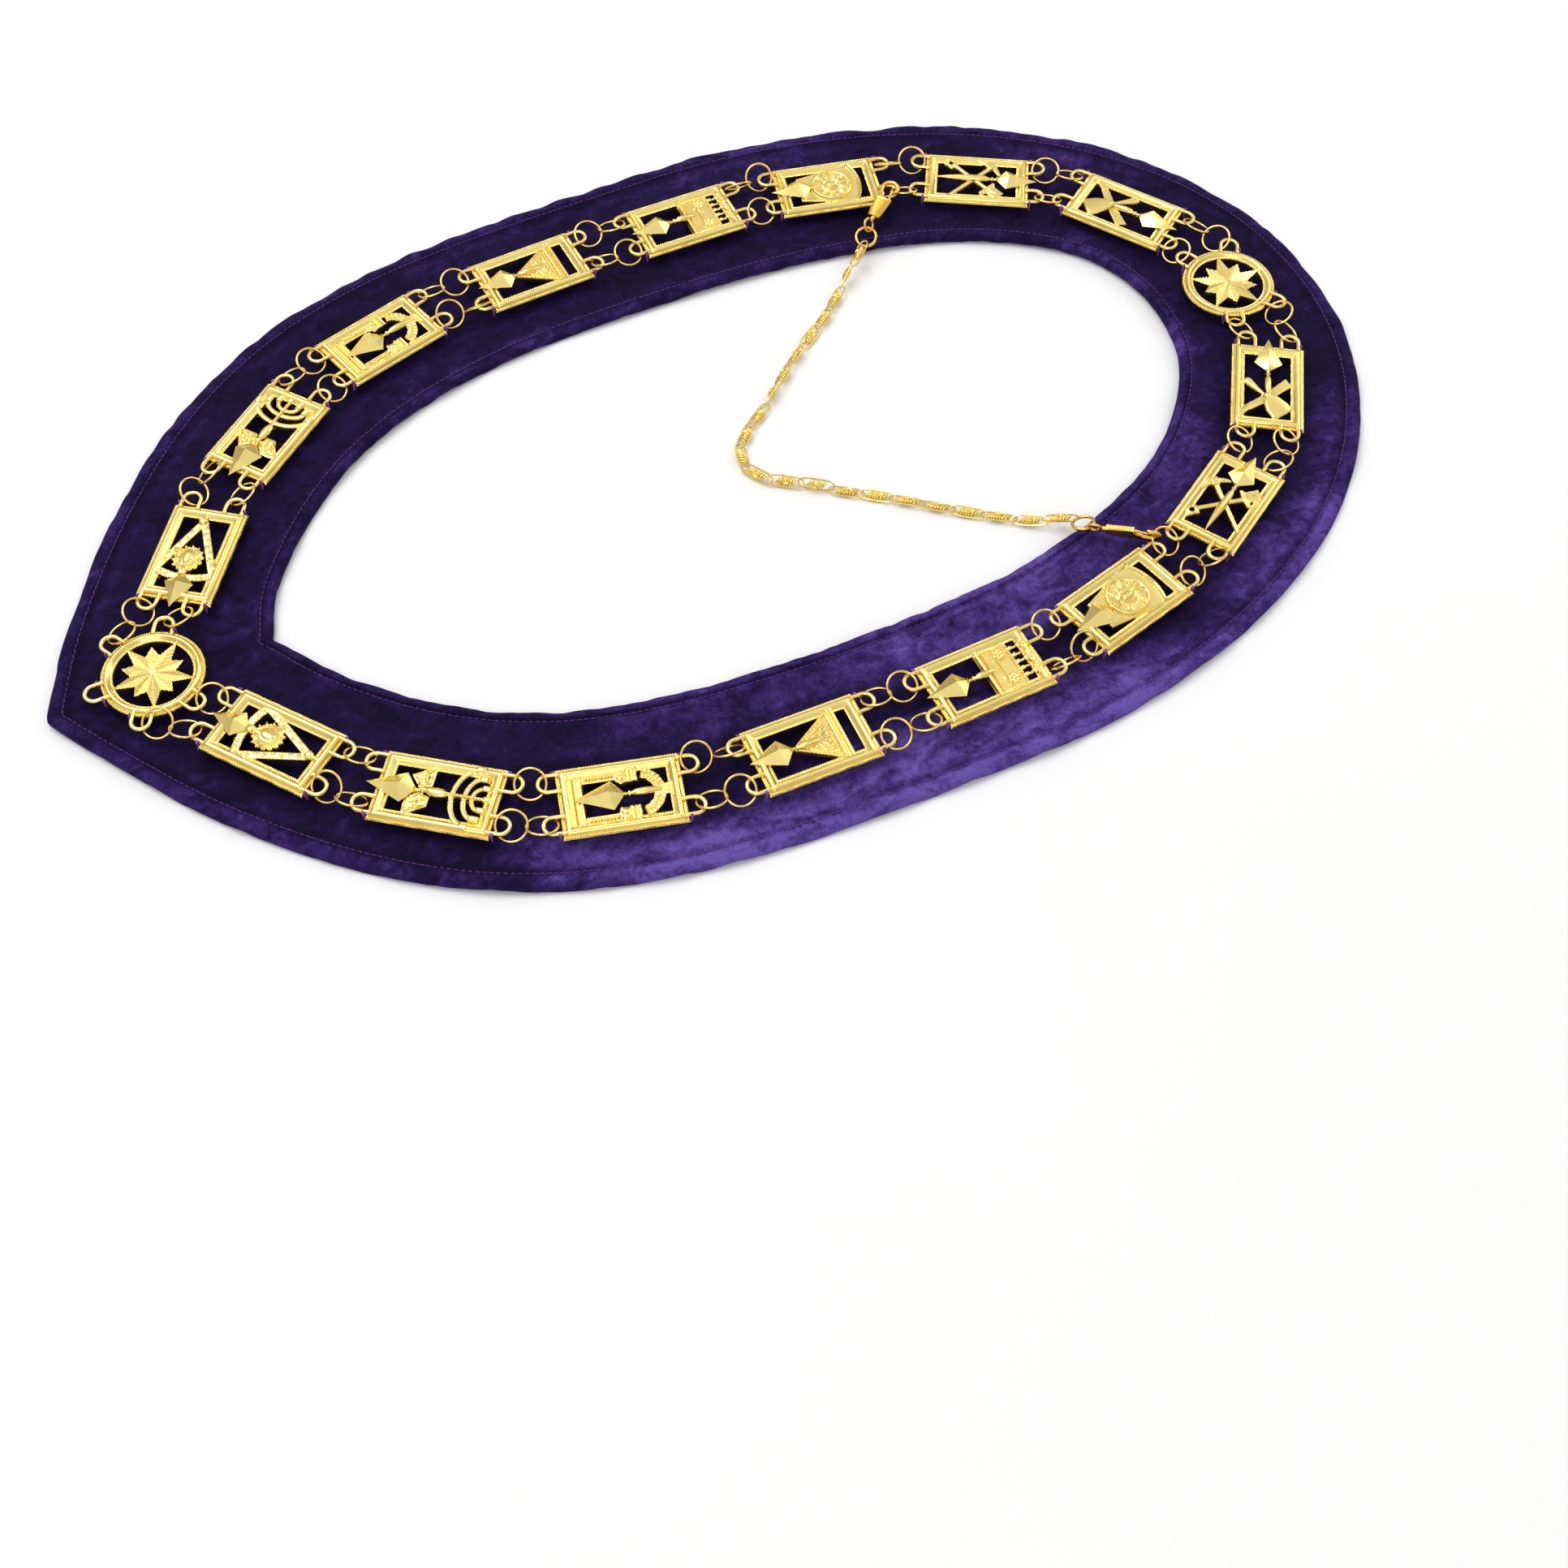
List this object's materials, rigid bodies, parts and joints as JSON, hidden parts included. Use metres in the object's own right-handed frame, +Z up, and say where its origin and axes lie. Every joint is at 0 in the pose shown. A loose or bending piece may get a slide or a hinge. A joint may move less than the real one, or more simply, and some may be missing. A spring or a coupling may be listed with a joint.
{
  "type": "regalia chain collar",
  "caption": "Ceremonial shoulder collar: openwork gilt plates and two star medallions joined by jump rings on a padded velvet ring, with a safety chain and two snap clasps.",
  "frame": {"origin": "on the floor under the middle of the collar's outline", "axes": "+Z up out of the velvet through the plates, -Y toward the pointed front, +X toward the near side"},
  "size_m": [0.341, 0.5412, 0.0152],
  "materials": {
    "gold_plate": "polished gold plate",
    "clasp_gold": "polished yellow brass",
    "violet_velvet": "crushed velvet, dark violet"
  },
  "bodies": {
    "collar": {"backing": "violet_velvet", "front_medallion": "gold_plate", "back_medallion": "gold_plate", "plate_1_near": "gold_plate", "plate_2_near": "gold_plate", "plate_3_near": "gold_plate", "plate_4_near": "gold_plate", "plate_5_near": "gold_plate", "plate_6_near": "gold_plate", "plate_7_near": "gold_plate", "plate_8_near": "gold_plate", "plate_1_far": "gold_plate", "plate_2_far": "gold_plate", "plate_3_far": "gold_plate", "plate_4_far": "gold_plate", "plate_5_far": "gold_plate", "plate_6_far": "gold_plate", "plate_7_far": "gold_plate", "plate_8_far": "gold_plate", "rings_0_1_near_inner": "gold_plate", "rings_0_1_near_outer": "gold_plate", "rings_1_2_near_inner": "gold_plate", "rings_1_2_near_outer": "gold_plate", "rings_2_3_near_inner": "gold_plate", "rings_2_3_near_outer": "gold_plate", "rings_3_4_near_inner": "gold_plate", "rings_3_4_near_outer": "gold_plate", "rings_4_5_near_inner": "gold_plate", "rings_4_5_near_outer": "gold_plate", "rings_5_6_near_inner": "gold_plate", "rings_5_6_near_outer": "gold_plate", "rings_6_7_near_inner": "gold_plate", "rings_6_7_near_outer": "gold_plate", "rings_7_8_near_inner": "gold_plate", "rings_7_8_near_outer": "gold_plate", "rings_8_9_near_inner": "gold_plate", "rings_8_9_near_outer": "gold_plate", "rings_0_1_far_inner": "gold_plate", "rings_0_1_far_outer": "gold_plate", "rings_1_2_far_inner": "gold_plate", "rings_1_2_far_outer": "gold_plate", "rings_2_3_far_inner": "gold_plate", "rings_2_3_far_outer": "gold_plate", "rings_3_4_far_inner": "gold_plate", "rings_3_4_far_outer": "gold_plate", "rings_4_5_far_inner": "gold_plate", "rings_4_5_far_outer": "gold_plate", "rings_5_6_far_inner": "gold_plate", "rings_5_6_far_outer": "gold_plate", "rings_6_7_far_inner": "gold_plate", "rings_6_7_far_outer": "gold_plate", "rings_7_8_far_inner": "gold_plate", "rings_7_8_far_outer": "gold_plate", "rings_8_9_far_inner": "gold_plate", "rings_8_9_far_outer": "gold_plate", "clasp_near": "clasp_gold", "clasp_far": "clasp_gold", "safety_chain": "clasp_gold"},
    "near_lever": {"clasp_near_gate": "clasp_gold"},
    "far_lever": {"clasp_far_gate": "clasp_gold"}
  },
  "joints": [
    {"name": "near_gate", "type": "hinge", "parent": "collar", "child": "near_lever", "pos_m": [0.10025, 0.12756, 0.01213], "axis": [-0.7485, 0.5684, 0.3416], "range_deg": [0, 25], "stiffness_Nm_per_rad": 0.02},
    {"name": "far_gate", "type": "hinge", "parent": "collar", "child": "far_lever", "pos_m": [-0.10198, 0.12729, 0.01137], "axis": [0.0855, -0.1098, 0.9903], "range_deg": [0, 25], "stiffness_Nm_per_rad": 0.02}
  ]
}
